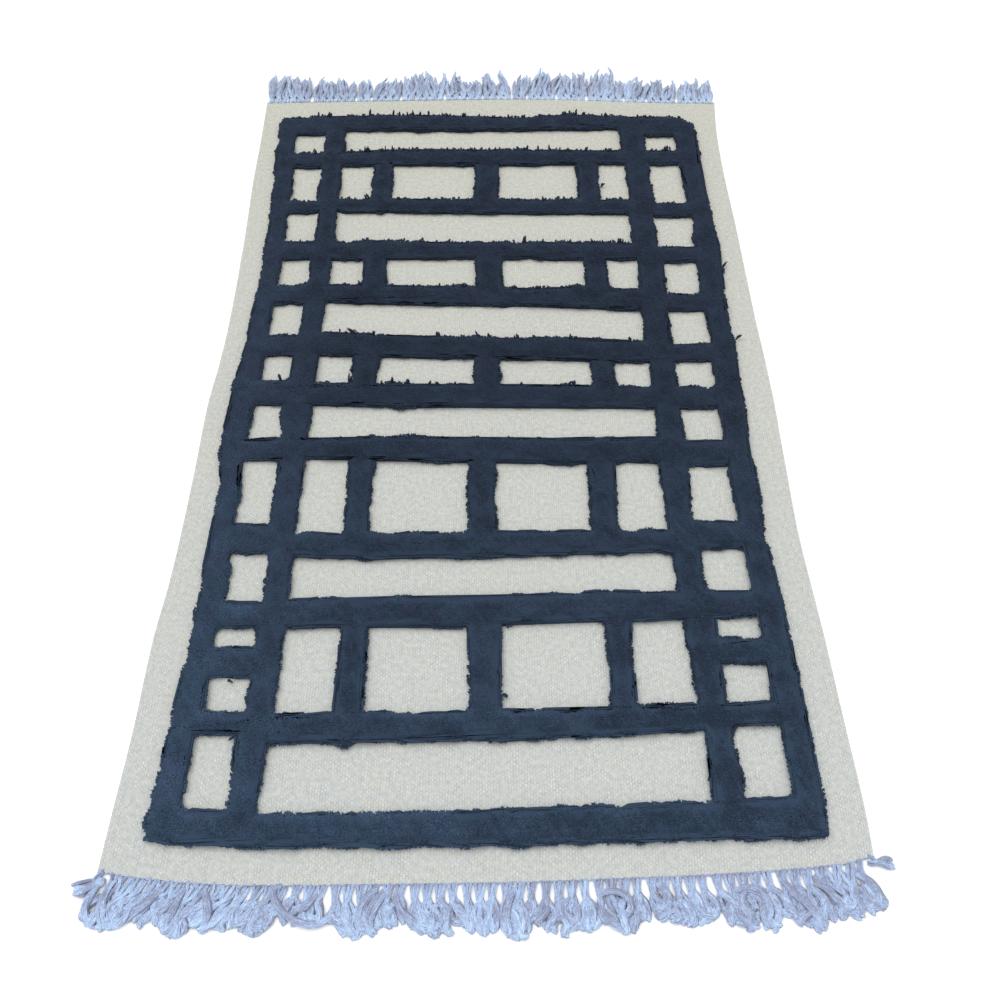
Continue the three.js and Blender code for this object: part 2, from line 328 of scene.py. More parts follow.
def make_flat_weave():
    """Undyed wool, weft-faced: dull, softly ribbed, with flecks and slow changes of cream."""
    material = new_material("undyed_wool_flat_weave")
    tree = material.node_tree
    yarns = add_node(tree, "UVMap", uv_map="yarns")
    in_mm = add_node(tree, "Mapping", {"Vector": yarns, "Scale": (1000, 1000, 1000)})
    # No yarn runs straight: the rows wander by 5 mm over 30 mm, and by 3 mm from float to float.
    wandering = in_mm
    for scale, reach in ((0.03, (5.0, 5.0, 0.0)), (0.3, (3.0, 1.6, 0.0))):
        wander = add_node(tree, "TexNoise", {"Vector": in_mm, "Scale": scale}).outputs["Color"]
        wandering = add_node(tree, "VectorMath", {0: wander, 1: reach, 2: wandering}, operation="MULTIPLY_ADD")
    # The rows of bricks run along the rug, because the ribs do.
    along_ribs = add_node(tree, "Mapping", {"Vector": wandering, "Rotation": (0, 0, math.pi / 2)})
    bricks = {"Vector": along_ribs, "Scale": 1.0, "Brick Width": FLOAT_STACK, "Row Height": RIB_WIDTH}
    bricks |= {"Mortar Size": 1.4, "Mortar Smooth": 1.0}
    bricks |= {"Color1": linear(0xF3F2EE), "Color2": linear(0xE4E4E1), "Mortar": linear(0xCACBCB)}
    floats = add_node(tree, "TexBrick", bricks)
    # In places 20 mm across the yarn has felted, and the ribs hardly show.
    felting = add_node(tree, "TexNoise", {"Vector": in_mm, "Scale": 0.05, "Detail": 2.0})
    felted = add_node(tree, "MapRange", {0: felting, 1: 0.35, 2: 0.65, 3: 0.15, 4: 0.9})
    ribbed = add_node(tree, "Mix", {"Factor": felted, "A": floats, "B": linear(0xDFDFDD)}, data_type="RGBA")
    # Lengths of weft: 35 mm long and 4 mm high, some warmer and some cooler.
    weft_places = add_node(tree, "Mapping", {"Vector": in_mm, "Scale": (0.03, 0.25, 1.0)})
    changes = add_node(tree, "TexNoise", {"Vector": weft_places, "Scale": 1.0, "Detail": 4.0})
    warmth = add_node(tree, "MapRange", {0: changes, 1: 0.3, 2: 0.7})
    weft = {"Factor": warmth, "A": linear(0xF5F8FB), "B": linear(0xFDFAF2)}
    # Painted light: the near end is painted a little bluer and the far end yellower.
    length = add_node(tree, "SeparateXYZ", {"Vector": yarns}).outputs["Y"]
    from_near = add_node(tree, "MapRange", {0: length, 1: 0.1, 2: 1.7})
    end_tint = {"Factor": from_near, "A": linear(0xDCDEDD), "B": linear(0xDAD9D0)}
    # Mottles: the yarn is spun unevenly, so it is lighter and darker over 5 to 15 mm.
    spinning = add_node(tree, "TexNoise", {"Vector": in_mm, "Scale": 0.14, "Detail": 4.0})
    mottles = add_node(tree, "MapRange", {0: spinning, 1: 0.3, 2: 0.7, 3: 0.88, 4: 1.1})
    weft, wool = (add_node(tree, "Mix", inputs, data_type="RGBA") for inputs in (weft, end_tint))
    for layer in (weft, ribbed, mottles):
        both = {"Factor": 1.0, "A": wool, "B": layer}
        wool = add_node(tree, "Mix", both, data_type="RGBA", blend_type="MULTIPLY")
    # Flecks of grey hair, about 4 mm apart.
    flecks = add_node(tree, "TexNoise", {"Vector": in_mm, "Scale": 0.26, "Detail": 4.0})
    grey_share = add_node(tree, "MapRange", {0: flecks, 1: 0.56, 2: 0.74, 4: 0.36})
    flecked = add_node(tree, "Mix", {"Factor": grey_share, "A": wool, "B": linear(0x868889)}, data_type="RGBA")
    rib_depth = {"Height": floats.outputs["Fac"], "Strength": 0.3, "Distance": 0.6 * MM}
    ribs = add_node(tree, "Bump", rib_depth, invert=True)
    surface = {"Base Color": flecked, "Roughness": 0.95, "Specular IOR Level": 0.2, "Normal": ribs}
    surface |= {"Sheen Weight": 0.1, "Sheen Roughness": 0.6}
    add_node(tree, "OutputMaterial", {"Surface": add_node(tree, "BsdfPrincipled", surface)})
    return material


cloth.data.materials.append(make_flat_weave())
print("rib width, mm:", RIB_WIDTH)

# %% [markdown]
# ## Thousands of small things as one mesh
#
# The pile has tens of thousands of tufts, and the fringe has more than a thousand yarns. An object for
# each would be slow. Instead, one small closed shape is worked out for all of them at once as arrays of
# numbers, and a piece is a single mesh that holds many copies.

# %% Join many copies of a shape into one piece
def joined_piece(name, corners, faces, **values):
    """One mesh from copies of a shape: corners is copies x corners x 3, and faces are for one copy."""
    copies, count, _ = corners.shape
    all_faces = (faces[None] + count * np.arange(copies)[:, None, None]).reshape(-1, 3)
    mesh = bpy.data.meshes.new(name)
    mesh.vertices.add(copies * count)
    mesh.vertices.foreach_set("co", corners.astype(np.float32).ravel())
    mesh.loops.add(all_faces.size)
    mesh.loops.foreach_set("vertex_index", all_faces.astype(np.int32).ravel())
    mesh.polygons.add(len(all_faces))
    mesh.polygons.foreach_set("loop_start", 3 * np.arange(len(all_faces), dtype=np.int32))
    mesh.update(calc_edges=True)
    for key, per_corner in values.items():
        layer = mesh.attributes.new(key, "FLOAT", "POINT")
        layer.data.foreach_set("value", np.broadcast_to(per_corner, corners.shape[:2]).astype(np.float32).ravel())
    mesh.shade_smooth()
    print(name, "copies:", copies, "triangles:", len(all_faces))
    return add_object(name, mesh)


# %% [markdown]
# ## The edge of the pile
#
# Each tuft is a short end of thick wool yarn, knotted round the warp. The knots sit in rows across the
# rug. Here they start as an even grid that is shaken a little. For each knot the script finds the nearest
# side of the lattice, how deep inside it the knot is, and which way leads out. The corners are worn round
# first, because no tuft stands in a sharp corner.

# %% Wear the corners of the lattice round
luck = np.random.default_rng(7)
CORNER_WEAR = (2.0 * MM, 11.0 * MM)
BLUNT = -0.75  # the cosine of the angle at a corner so blunt that it isn't worn


def worn_corners(loop):
    """The same outline with each sharp corner cut back by its own amount."""
    worn = []
    for before, corner, after in zip(np.roll(loop, 1, axis=0), loop, np.roll(loop, -1, axis=0)):
        back, on = before - corner, after - corner
        back, on = back / np.linalg.norm(back), on / np.linalg.norm(on)
        if back @ on < BLUNT:
            worn.append(corner)
            continue
        start, end = corner + back * luck.uniform(*CORNER_WEAR), corner + on * luck.uniform(*CORNER_WEAR)
        worn += [start, (start + 2 * corner + end) / 4, end]
    return np.array(worn)


pile_outlines = [worn_corners(loop) for loop in pile_outlines]
print("points on the outlines:", sum(map(len, pile_outlines)))

# %% Measure each knot from the nearest side
KNOT_STEP, KNOT_SHAKE = 3.1 * MM, 0.8 * MM
EDGE_REACH = 12 * MM

edge_starts = np.concatenate(pile_outlines)
edge_ends = np.concatenate([np.roll(loop, -1, axis=0) for loop in pile_outlines])
walls = [[(*a, -1.0), (*b, -1.0), (*b, 1.0), (*a, 1.0)] for a, b in zip(edge_starts, edge_ends)]
wall_corners, wall_faces = np.reshape(walls, (-1, 3)), np.arange(4 * len(walls)).reshape(-1, 4)
side_tree = BVHTree.FromPolygons(wall_corners.tolist(), wall_faces.tolist())


def inside_pile(points):
    """Which points lie on the lattice: a line from one crosses the outlines an odd number of times."""
    odd = np.zeros(len(points), bool)
    x, y = points.T
    for (x0, y0), (x1, y1) in zip(edge_starts, edge_ends):
        between = np.flatnonzero((y0 > y) != (y1 > y))
        crossing = x[between] < x0 + (y[between] - y0) * (x1 - x0) / (y1 - y0)
        odd[between[crossing]] ^= True
    return odd


def nearest_sides(points):
    """How deep each point is inside the lattice, less than 0 outside it, and the direction that leads out."""
    feet = np.array([side_tree.find_nearest((x, y, 0.0))[0][:2] for x, y in points])
    inside = np.where(inside_pile(points), 1.0, -1.0)
    way = (feet - points) * inside[:, None]
    away = np.maximum(np.linalg.norm(way, axis=1), 1e-6)
    return away * inside, way / away[:, None]


pile_low, pile_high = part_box("pile_lattice")
grid_x, grid_y = np.meshgrid(
    np.arange(pile_low.x - EDGE_REACH, pile_high.x + EDGE_REACH, KNOT_STEP),
    np.arange(pile_low.y - EDGE_REACH, pile_high.y + EDGE_REACH, KNOT_STEP),
)
grid_x[1::2] += KNOT_STEP / 2
knots = np.column_stack([grid_x.ravel(), grid_y.ravel()])
knots += luck.uniform(-KNOT_SHAKE, KNOT_SHAKE, knots.shape)
depth, outwards = nearest_sides(knots)
print("places tried for knots:", len(knots))

# %% [markdown]
# The side of a bar is never a clean line. Each row of knots starts and stops a little sooner or later than
# the row before it, so the sides that run lengthwise look like the teeth of a worn saw. A value that stays
# the same over a small cell of the rug, and jumps at the next, makes neighbouring knots act together. Slow
# waves on top of that let the whole side swell and shrink. The largest swells are listed one by one: each has
# a place, a length and how much fuller the side is there.

# %% Keep the knots of a ragged lattice
SWELLS_ACROSS = [  # on sides that run across the rug: x, y, length, fuller by, in millimetres
    (-80, 760, 260, 6), (410, 726, 60, 5), (-180, 688, 100, 9), (30, 683, 120, 5), (0, 629, 100, 7),
    (-350, 630, 60, 6), (0, 465, 300, 4), (-210, 373, 60, 6), (-300, 324, 50, 6), (-300, 246, 130, 4),
    (-40, 238, 40, 5), (190, 228, 25, 11), (100, 172, 90, -4), (285, 165, 40, 6), (-150, 104, 70, -5),
    (160, 88, 30, 6), (285, 24, 40, 5), (-160, -80, 40, 8), (400, -94, 50, 6), (-170, -158, 60, 9),
    (150, -161, 50, -5), (130, -216, 60, 7), (-70, -210, 60, 5), (370, -349, 30, 8), (-10, -409, 150, 7),
    (-210, -409, 25, 8), (-60, -540, 70, 8), (-70, -486, 60, -5), (200, -487, 90, 5), (-60, -684, 60, -5),
    (120, -682, 80, -5), (60, -728, 200, 7), (-60, -834, 220, -4), (-60, -896, 220, -4),
    (-211, -490, 14, -9), (-262, -486, 30, 3), (-130, -484, 40, 4), (-145, -540, 30, -3), (33, -545, 20, 4),
    (132, -536, 30, -4), (-213, -740, 13, 9),
]
SWELLS_ALONG = [  # on sides that run along the rug
    (454, 375, 40, 7), (445, -270, 60, 5), (-379, -92, 25, 10), (323, -134, 30, 6), (320, -260, 40, 5),
    (-374, -285, 40, 5), (330, -570, 60, 7), (-440, -290, 50, 6), (-437, -450, 30, 7), (231, -300, 40, 5),
    (-30, -660, 25, -7), (456, -740, 30, 5), (-500, -880, 22, -9), (-498, -852, 12, 5), (493, 735, 30, 5),
    (-440, 570, 30, 5),
]
SWELL_DEPTH = 22 * MM
ROW_CELL, ROW_SHIFT = np.array([32.0, 6.2]) * MM, 1.5 * MM
COLUMN_CELL, COLUMN_SHIFT = np.array([6.2, 32.0]) * MM, 0.6 * MM
FULLER = {"all": -0.2 * MM, "near": 4.0 * MM, "far": -0.3 * MM}
SHORT_WAVES, LONG_WAVES = (1.1 * MM, 45 * MM), (1.0 * MM, 120 * MM)  # how far out, and how long
SETTLED_ROWS = 3
CELL_TABLE = (97, 89)  # two primes, so that columns and rows of cells never repeat together


def slow_waves(points, size, seed):
    """A smooth value from about -1 to 1 that changes over the given size: six waves that cross."""
    turns = np.random.default_rng(seed).uniform(0, 2 * math.pi, (6, 2))
    total = np.zeros(len(points))
    for k, (turn, start) in enumerate(turns):
        along = points @ np.array([math.cos(turn), math.sin(turn)])
        total += np.sin(2 * math.pi * along / (size * (0.6 + 0.16 * k)) + start)
    return total / 2.4


def by_cell(points, cell, seed):
    """A value from -1 to 1 for each cell of the rug, so that neighbours act together."""
    values = np.random.default_rng(seed).uniform(-1, 1, CELL_TABLE)
    column, row = np.floor(points / cell).astype(int).T % np.reshape(CELL_TABLE, (2, 1))
    return values[column, row]


def swell(points, swells, axis):
    """How much fuller the sides are at each point, from swells drawn out along one axis."""
    total = np.zeros(len(points))
    for x, y, length, fuller in swells:
        size = np.full(2, SWELL_DEPTH)
        size[axis] = length * MM
        total += fuller * MM * np.exp(-(((points - np.array([x, y]) * MM) / size) ** 2).sum(axis=1))
    return total


def near_and_far(outwards):
    """How much each direction points to the near end, and how much to the far end."""
    return -outwards[:, 1].clip(-1, 0), outwards[:, 1].clip(0, 1)


def fullness(points, outwards):
    """How far past the solid's outline the sides stand at each point: all of it but the rows' own ends."""
    out_side, (out_near, out_far) = np.abs(outwards[:, 0]), near_and_far(outwards)
    fuller = FULLER["all"] + FULLER["near"] * out_near + FULLER["far"] * out_far
    for (reach, length), seed in ((SHORT_WAVES, 22), (LONG_WAVES, 24)):
        fuller += reach * slow_waves(points, length, seed)
    return fuller + (out_near + out_far) * swell(points, SWELLS_ACROSS, 0) + out_side * swell(points, SWELLS_ALONG, 1)


depth += fullness(knots, outwards)
depth += ROW_SHIFT * np.abs(outwards[:, 0]) * by_cell(knots, ROW_CELL, 21)
depth += COLUMN_SHIFT * np.abs(outwards[:, 1]) * by_cell(knots, COLUMN_CELL, 23)
kept = depth > 0
knots, depth, outwards = knots[kept], depth[kept], outwards[kept]
# The outer row is drawn part of the way to the side of the bar, wherever the grid put it. The next two rows
# follow it less and less, so that no gap opens.
row, in_row = np.divmod(depth, KNOT_STEP)
outer = row == 0
shift = (0.45 * in_row - 0.2 * MM) * (1 - row / SETTLED_ROWS).clip(0)
knots += shift[:, None] * outwards
depth -= shift
out_near, out_far = near_and_far(outwards)
print("knots:", len(knots), "of which within 5 mm of a side:", int((depth < 5 * MM).sum()))

# %% [markdown]
# ## The shape of a tuft
#
# Close up a tuft is a soft, blunt brush of fibres: narrow at the knot, full near the top, with a small
# point in the middle. Six triangles are enough, because there are so many tufts and each is only a few
# millimetres wide. What makes pile look like pile is how the tufts lean: in drifts, as if brushed by hand,
# out over the sides of the bars, and more towards the far end, where the pile is longer and looser. The
# tufts also get shorter towards the sides, so each bar has a rounded top.

# %% Lean the tufts
DRIFT, DRIFT_SIZE = 1.9 * MM, 42 * MM
SHOULDER, BROAD_SHOULDER = 7 * MM, 20 * MM
SPLAY_CELL, TOOTH_CELL = np.array([9.0, 9.0]) * MM, np.array([5.0, 70.0]) * MM
TOOTH, HAIR = 4.5 * MM, 1.1 * MM
LOOSER = (-0.35, 0.45)  # metres: from here to here along the rug the pile gets longer and looser


def ease(values, start, end):
    """Goes smoothly from 0 to 1 between start and end."""
    share = np.clip((values - start) / (end - start), 0, 1)
    return share * share * (3 - 2 * share)


far_share = ease(knots[:, 1], *LOOSER)
at_side = 1 - ease(depth, -1 * MM, SHOULDER)
near_side = 1 - ease(depth, 0, BROAD_SHOULDER)
teeth = TOOTH * by_cell(knots, TOOTH_CELL, 17).clip(0, 1) * luck.uniform(0.5, 1, len(knots))
hairs = np.abs(luck.normal(0, HAIR, len(knots)))
fuzz = far_share * out_far * at_side * (teeth + hairs)
# The nap leans to the far end, but not over a near side. The splay leans out over every side.
nap = (0.5 + 1.9 * far_share) * (1 - out_near * at_side) * MM
splay = at_side * (1.3 - 0.5 * out_near + (0.3 + 0.7 * far_share) * by_cell(knots, SPLAY_CELL, 13)) * MM
drift = DRIFT * np.column_stack([slow_waves(knots, DRIFT_SIZE, 11), slow_waves(knots, DRIFT_SIZE, 12)])
lean = drift + splay[:, None] * outwards + luck.normal(0, 0.4 * MM, knots.shape)
lean[:, 1] += nap + fuzz - far_share * out_near * at_side * hairs
# The pile waves a little, some tufts are longer, and the shears took more off towards the sides.
height = pile_height * (1.02 + 0.04 * slow_waves(knots, 60 * MM, 14))
height *= 1 + (0.015 + 0.02 * far_share) * luck.normal(size=len(knots))
height *= 1 - 0.2 * at_side - 0.14 * near_side
height += fuzz
print("mean tuft height, mm:", round(height.mean() / MM, 1))

# %% Make the tufts
BODY_RADIUS, BODY_RISE, BODY_LEAN, ROOT_SUNK = 3.1 * MM, 0.88, 0.7, 0.3 * MM
TUFT_FACES = np.array(
    [[0, 1 + (k + 1) % 3, 1 + k] for k in range(3)] + [[1 + k, 1 + (k + 1) % 3, 4] for k in range(3)]
)
TUFT_RISE = np.array([0.0] + [BODY_RISE] * 3 + [1.0])
BANDS = 4
PALER_PATCHES = [  # x, y, width and length of a patch in millimetres, and how much paler it is
    (-450, 80, 60, 420, 0.8), (-440, -500, 70, 400, 0.35), (-440, 760, 60, 120, 0.4), (440, 350, 60, 500, 0.2),
    (-340, -60, 50, 380, 0.3), (-200, -900, 280, 25, 0.2), (-480, -840, 60, 60, 0.2), (0, 490, 30, 70, -0.25),
    (360, -720, 160, 260, -0.3), (210, 700, 60, 90, -0.25), (0, -310, 30, 90, -0.2), (-220, -600, 40, 110, -0.2),
]


def tuft_corners(points, lean, height, girth, turn):
    """The five corners of each tuft: its root, three round its body, and its tip."""
    corners = np.zeros((len(points), 5, 3))
    root_z = ground_top + cloth_lift(*points.T) - ROOT_SUNK
    corners[:, 0, :2] = points
    corners[:, 0, 2] = root_z
    for k in range(3):
        angle = turn + 2 * math.pi * k / 3
        round_it = np.column_stack([np.cos(angle), np.sin(angle)]) * girth[:, None]
        corners[:, 1 + k, :2] = points + BODY_LEAN * lean + BODY_RADIUS * round_it
        corners[:, 1 + k, 2] = root_z + BODY_RISE * height
    corners[:, 4, :2] = points + lean
    corners[:, 4, 2] = root_z + height
    return corners


girth = luck.uniform(0.9, 1.1, len(knots))
flat_side_out = np.arctan2(-outwards[:, 1], -outwards[:, 0]) + luck.normal(0, 0.7, len(knots))
turn = np.where(outer, flat_side_out, luck.uniform(0, 2 * math.pi, len(knots)))
# Dye and shading: slow changes of dye, painted light on far sides, painted shade on near sides with painted light on
# their outer row, and luck.
tone = 0.42 + 0.16 * slow_waves(knots, 90 * MM, 15) + 0.1 * slow_waves(knots, 22 * MM, 16)
tone += near_side * (0.5 * out_far - 0.65 * out_near) + 0.8 * at_side * out_near
tone += luck.normal(0, 0.13, len(knots))
for x, y, wide, long, paler in PALER_PATCHES:
    place = (knots - np.array([x, y]) * MM) / (np.array([wide, long]) * MM)
    tone += paler * np.exp(-(place**2).sum(axis=1))
corners = tuft_corners(knots, lean, height, girth, turn)
bands = np.digitize(knots[:, 1], np.quantile(knots[:, 1], np.linspace(0, 1, BANDS + 1)[1:-1]))
pile_pieces = [
    joined_piece(
        f"navy_pile_{band + 1}",
        corners[bands == band],
        TUFT_FACES,
        tone=tone[bands == band, None].clip(0, 2),
        rise=TUFT_RISE,
    )
    for band in range(BANDS)
]

# %% [markdown]
# Here and there a few ends were never clipped. They stand out over the edge of a bar as locks, most of them
# on the far side of the far bars. Each is listed: the row it is in, its place across the rug, its
# width, how far its tip leans aside and how long it is. A lock is a few thin tufts that share one lean.

# %% Add the unclipped locks
LOCKS = {  # the row's place along the rug: (across, width, aside, length), all in millimetres
    808: [
        (-405, 4, 0, 14), (-380, 16, 3, 12), (-280, 6, 0, 18), (-225, 5, 2, 18), (-212, 12, 0, 11),
        (-190, 5, 2, 12), (-175, 6, -2, 13), (-160, 5, 2, 11), (-140, 5, 0, 13), (-108, 4, 2, 9),
        (-95, 6, -2, 11), (-55, 14, 2, 10), (55, 5, 0, 9), (90, 12, 0, 7), (130, 5, 0, 6),
        (190, 14, 0, 9), (218, 6, 2, 16), (234, 10, 0, 9), (292, 5, 0, 9), (364, 5, 0, 8), (384, 5, 0, 6),
    ],
    682: [
        (-396, 10, -10, 13), (-345, 3, 0, 13), (-314, 4, 0, 8), (-278, 18, 0, 15), (-243, 8, 0, 13),
        (-235, 4, 0, 20), (-220, 6, 2, 18), (-180, 5, 2, 11), (-160, 5, 0, 9), (-125, 12, -2, 9),
        (-30, 20, 0, 10), (10, 5, 0, 13), (22, 6, 2, 10), (88, 5, 0, 9), (97, 4, 0, 14), (122, 6, 0, 17),
        (152, 5, -8, 17), (173, 4, 0, 9), (194, 5, 0, 8), (234, 7, 2, 11), (388, 5, 0, 9), (424, 24, 0, 12),
    ],
    518: [(-264, 12, -8, 13), (-197, 8, 0, 6), (-127, 8, 0, 6), (129, 10, 0, 8), (205, 6, -3, 8)],
    372: [
        (83, 8, 2, 19), (125, 5, 0, 8), (182, 5, 0, 10), (204, 5, 0, 6), (234, 6, -8, 12), (252, 5, 0, 8),
        (290, 16, 2, 11),
    ],
    245: [
        (-260, 8, -10, 14), (-193, 6, 0, 8), (-150, 5, 0, 6), (-95, 6, 0, 8), (-43, 12, 0, 10), (60, 16, 0, 6),
        (110, 16, 0, 6), (176, 6, 0, 8), (315, 5, 0, 6), (384, 10, -3, 12),
    ],
    105: [
        (-403, 5, 0, 7), (-292, 6, 0, 7), (-255, 10, -26, 12), (-224, 6, 0, 7), (-93, 14, 0, 9), (-15, 5, -5, 12),
        (7, 6, 0, 8), (62, 12, 0, 8), (170, 6, 0, 14), (180, 8, 2, 9), (292, 8, 0, 9),
    ],
    -18: [
        (-396, 8, -6, 14), (-379, 5, 0, 5), (-264, 4, 0, 24), (-258, 5, 0, 10), (-200, 5, 0, 5), (-180, 5, 1, 21),
        (-150, 12, 0, 8), (-107, 5, 0, 10), (-93, 5, 0, 7), (-58, 5, 0, 5), (71, 8, 0, 6), (168, 16, 5, 13),
        (395, 5, 0, 6),
    ],
}
SIDE_LOCKS = [  # from (x, y) to (x, y)
    ((498, 288), (512, 300)), ((500, 86), (518, 92)), ((484, 491), (494, 494)), ((260, 556), (272, 560)),
    ((-380, -716), (-391, -733)), ((28, -655), (37, -666)), ((378, 556), (379, 547)),
    ((-402, -630), (-407, -634)),
]
LOCK_STEP, SIDE_LOCK_WIDTH, ROOT_BACK = 1.2 * MM, 6, 2
TIP_OUT, TIP_UP, MOST_UP = 0.8, 0.55, 9  # shares of a lock's length, and millimetres


def lock_tufts(start, end, width):
    """Thin tufts that grow side by side at a place, with their tips near another."""
    start, end = np.array(start) * MM, np.array(end) * MM
    count = max(3, round(width * MM / LOCK_STEP))
    way = (end - start) / np.linalg.norm(end - start)
    aside = np.outer(luck.uniform(-0.5, 0.5, count) * width * MM, [-way[1], way[0]])
    reach = luck.uniform(0.2, 1.05, (count, 1))
    lean = (end - start) * reach - 0.5 * aside + luck.normal(0, 0.5 * MM, (count, 2))
    return start + aside, lean, pile_height * luck.uniform(0.85, 1.05, count)


tufts = []
for row, locks in LOCKS.items():
    for across, width, aside, length in locks:
        foot = side_tree.find_nearest((across * MM, row * MM, 0.0))[0]
        x, y = foot.x / MM, foot.y / MM
        root, tip = (x, y - ROOT_BACK), (x + aside, y + TIP_OUT * length)
        places, leans, heights = lock_tufts(root, tip, width)
        heights += min(TIP_UP * length, MOST_UP) * MM * luck.uniform(0.5, 1, len(heights))
        tufts.append((places, leans, heights))
tufts += [lock_tufts(start, end, SIDE_LOCK_WIDTH) for start, end in SIDE_LOCKS]
lock_places, lock_leans, lock_heights = map(np.concatenate, zip(*tufts))
lock_girth, lock_turn = luck.uniform(0.5, 0.8, len(lock_places)), luck.uniform(0, 2 * math.pi, len(lock_places))
pile_pieces.append(
    joined_piece(
        "navy_pile_locks",
        tuft_corners(lock_places, lock_leans, lock_heights, lock_girth, lock_turn),
        TUFT_FACES,
        tone=luck.uniform(0.35, 0.7, (len(lock_places), 1)),
        rise=TUFT_RISE,
    )
)

# %% [markdown]
# Between the tufts one looks down into matted wool, and never to the cream ground. A bed of wool under the
# tips closes those gaps. Denser tufts could do that too, but they would make the model many times heavier.
# So it is a copy of the solid lattice, lower and a little narrower, with its top drawn in.

# %% Lay the bed under the tufts
BED_FOOT, BED_SHOULDER, BED_CROWN = 1.5 * MM, 2.9 * MM, 7.0 * MM  # how far inside the pile's sides
SHOULDER_HEIGHT, BED_HEIGHT = 7.4 * MM, 9.4 * MM
BED_STEP, BED_SPLITS = 14 * MM, 6
BED_TONE = {"tone": 0.4, "rise": 0.8}


def make_pile_bed():
    """A low copy of the lattice with sloping sides that swell with the pile."""
    bm = merged_copy("pile_lattice")
    for _ in range(BED_SPLITS):
        outline = [edge for edge in bm.edges if edge.calc_length() > BED_STEP and edge.calc_face_angle() > 1]
        bmesh.ops.bisect_edges(bm, edges=outline, cuts=1)
        bmesh.ops.triangulate(bm, faces=bm.faces)
    bm.normal_update()
    sides = [Vector((vert.normal.x, vert.normal.y, 0)).normalized() for vert in bm.verts]
    points, outwards = (np.array([v[:2] for v in vectors]) for vectors in ([vert.co for vert in bm.verts], sides))
    for vert, side, fuller in zip(bm.verts, sides, fullness(points, outwards)):
        inset, height = (BED_SHOULDER, SHOULDER_HEIGHT) if vert.normal.z > 0 else (BED_FOOT, 0)
        vert.co += float(fuller - inset) * side
        vert.co.z = ground_top + float(cloth_lift(vert.co.x, vert.co.y)) + height
    bm.normal_update()
    top = [face for face in bm.faces if face.normal.z > 0.6]
    bmesh.ops.inset_region(bm, faces=top, thickness=BED_CROWN - BED_SHOULDER)
    for vert in {vert for face in top for vert in face.verts}:
        vert.co.z = ground_top + float(cloth_lift(vert.co.x, vert.co.y)) + BED_HEIGHT
    piece = finished("navy_pile_bed", bm)
    for key, value in BED_TONE.items():
        layer = piece.data.attributes.new(key, "FLOAT", "POINT")
        layer.data.foreach_set("value", [value] * len(piece.data.vertices))
    print("navy_pile_bed faces:", len(piece.data.polygons))
    return piece


pile_pieces.append(make_pile_bed())
print("bed height, mm:", BED_HEIGHT / MM)

# %% [markdown]
# The pile is navy wool, dyed in the yarn and cut. The tips are painted a little paler and bluer than the roots:
# painted shade deep in the pile. Some dye lots are greener and some more violet, and the near end is painted
# paler, as painted light. Wool has no gloss, only a faint sheen where fibres stand on edge.

# %% Finish the pile
def make_navy_pile():
    """Dyed wool, cut: each tuft has its own tone, with painted shade towards its root and painted light towards the
    near end.
    """
    material = new_material("dyed_wool_cut_pile")
    tree = material.node_tree
    tone, rise = (add_node(tree, "Attribute", attribute_name=name).outputs["Fac"] for name in ("tone", "rise"))
    place = add_node(tree, "TexCoord").outputs["Object"]
    length = add_node(tree, "SeparateXYZ", {"Vector": place}).outputs["Y"]
    # Painted light: the pile is painted paler towards the near end.
    from_near = add_node(tree, "MapRange", {0: length, 1: -0.9, 2: 0.0})
    dark, light = [
        add_node(tree, "Mix", {"Factor": from_near, "A": linear(near), "B": linear(far)}, data_type="RGBA")
        for near, far in ((0x263342, 0x1A222E), (0x3D5166, 0x2A3545))
    ]
    # Tufts in paler patches, and tufts under the painted light of a near rim, have a value past 1, and are paler than
    # the light wool.
    wool = add_node(tree, "Mix", {"Factor": tone, "A": dark, "B": light}, data_type="RGBA", clamp_factor=False)
    # Dye lots: patches of 30 mm or so that lean to teal or to violet.
    lots = add_node(tree, "TexNoise", {"Vector": place, "Scale": 32.0, "Detail": 2.0})
    share = add_node(tree, "MapRange", {0: lots, 1: 0.35, 2: 0.65})
    dye = add_node(tree, "Mix", {"Factor": share, "A": linear(0xF5FFFF), "B": linear(0xFFF6FF)}, data_type="RGBA")
    dyed = add_node(tree, "Mix", {"Factor": 1.0, "A": wool, "B": dye}, data_type="RGBA", blend_type="MULTIPLY")
    # Painted shade: each tuft is painted darker towards its root, deep between the tufts.
    depth_shade = add_node(tree, "MapRange", {0: rise, 1: 0.0, 2: 0.9, 3: 0.65})
    shaded = add_node(tree, "Mix", {"Factor": depth_shade, "A": linear(0x141C28), "B": dyed}, data_type="RGBA")
    surface = {"Base Color": shaded, "Roughness": 1.0, "Specular IOR Level": 0.2}
    surface |= {"Sheen Weight": 0.12, "Sheen Roughness": 0.5, "Sheen Tint": linear(0x8FA5C8)}
    add_node(tree, "OutputMaterial", {"Surface": add_node(tree, "BsdfPrincipled", surface)})
    return material


navy_pile = make_navy_pile()
for piece in pile_pieces:
    piece.data.materials.append(navy_pile)
print("pile finished")

# %% [markdown]
# ## The fringe
#
# The fringe is the warp itself: the long yarns that the rug was woven on. Where the weaving stops they
# come out in small bundles, each twisted for a few centimetres, and then fall apart and lie in clumps.
# The solid combs already have a tooth for each bundle, so the middle line and width of each tooth are
# read from the model, as four sections from root to tip.

# %% Read the bundles from the combs
EDGE_WIDTH = 1.0 * MM  # a point of a comb closer to the cloth is on its back, and not on a tooth


def distance_to_cloth(points):
    """The distance of each point from the outline of the cloth."""
    start, end = ground_outline, np.roll(ground_outline, -1, axis=0)
    way = end - start
    share = ((points[:, None] - start) * way).sum(axis=2) / (way**2).sum(axis=1)
    foot = start + np.clip(share, 0, 1)[..., None] * way
    return np.linalg.norm(points[:, None] - foot, axis=2).min(axis=1)


